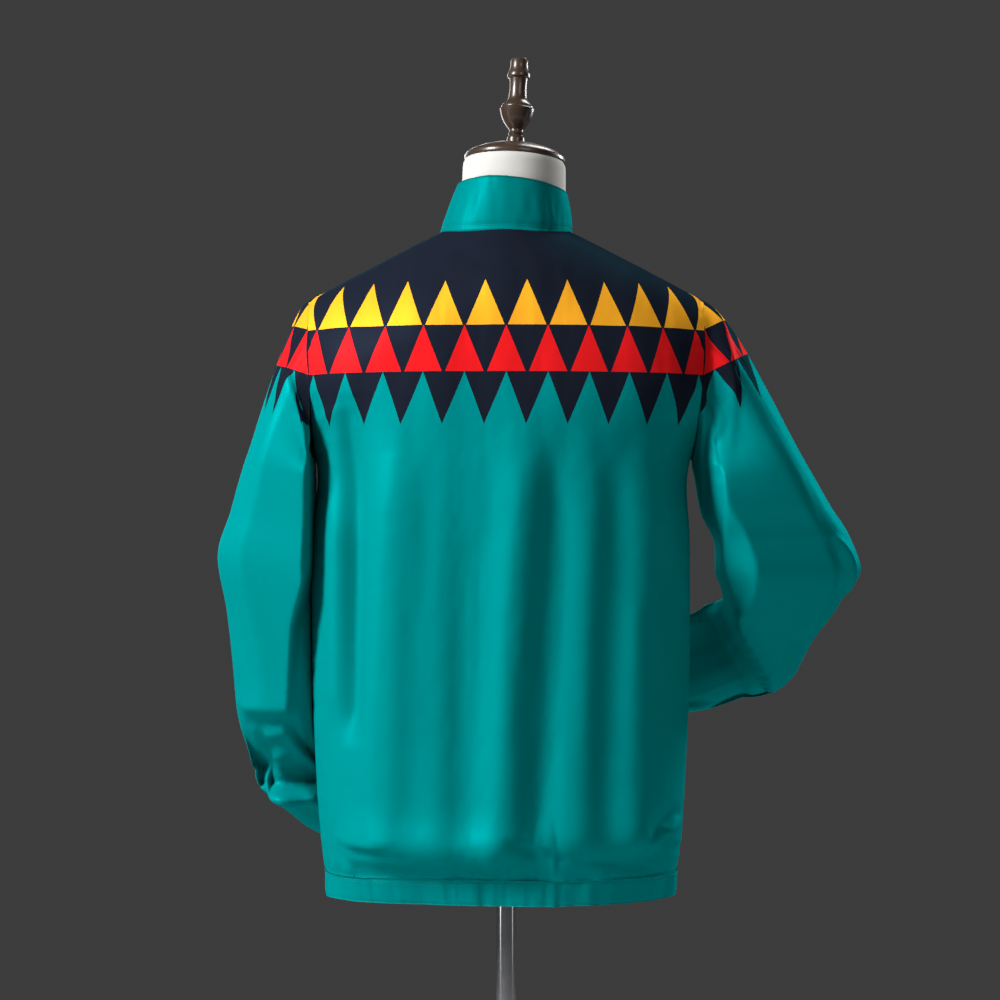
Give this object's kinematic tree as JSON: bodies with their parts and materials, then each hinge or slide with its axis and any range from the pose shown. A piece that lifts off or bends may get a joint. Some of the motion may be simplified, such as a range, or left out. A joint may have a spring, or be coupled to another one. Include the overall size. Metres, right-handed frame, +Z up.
{
  "type": "windbreaker on a dress form",
  "caption": "Zip-up satin windbreaker with a stand collar and sleeves bent forwards, worn by a limbless dress form on a pole with a round base.",
  "frame": {"origin": "centre of the base's underside, on the floor", "axes": "+Z up along the pole; the garment's front and zip face -Y; the wearer's left is +X"},
  "size_m": [0.6912, 0.3862, 1.6704],
  "materials": {
    "teal_satin": "satin-weave polyester with a soft sheen",
    "zip_tape": "woven tape",
    "zip_metal": "plated metal",
    "form_cover": "plain stretched cotton",
    "dark_wood": "dark gloss varnish",
    "chrome": "polished"
  },
  "bodies": {
    "garment_and_stand": {"back_panel": "teal_satin", "front_panel_left": "teal_satin", "front_panel_right": "teal_satin", "sleeve_left": "teal_satin", "sleeve_right": "teal_satin", "cuff_left": "teal_satin", "cuff_right": "teal_satin", "collar": "teal_satin", "hem_band": "teal_satin", "zip_tape_left": "zip_tape", "zip_tape_right": "zip_tape", "zip_chain": "zip_metal", "zip_slider": "zip_metal", "form_body": "form_cover", "neck_cap": "dark_wood", "finial": "dark_wood", "pole": "chrome", "base": "chrome"},
    "pull_tab": {"zip_pull": "zip_metal"}
  },
  "joints": [
    {"name": "pull_tab_swing", "type": "hinge", "parent": "garment_and_stand", "child": "pull_tab", "pos_m": [0, -0.07091, 1.4976], "axis": [-1, 0, 0], "range_deg": [0, 140]}
  ]
}
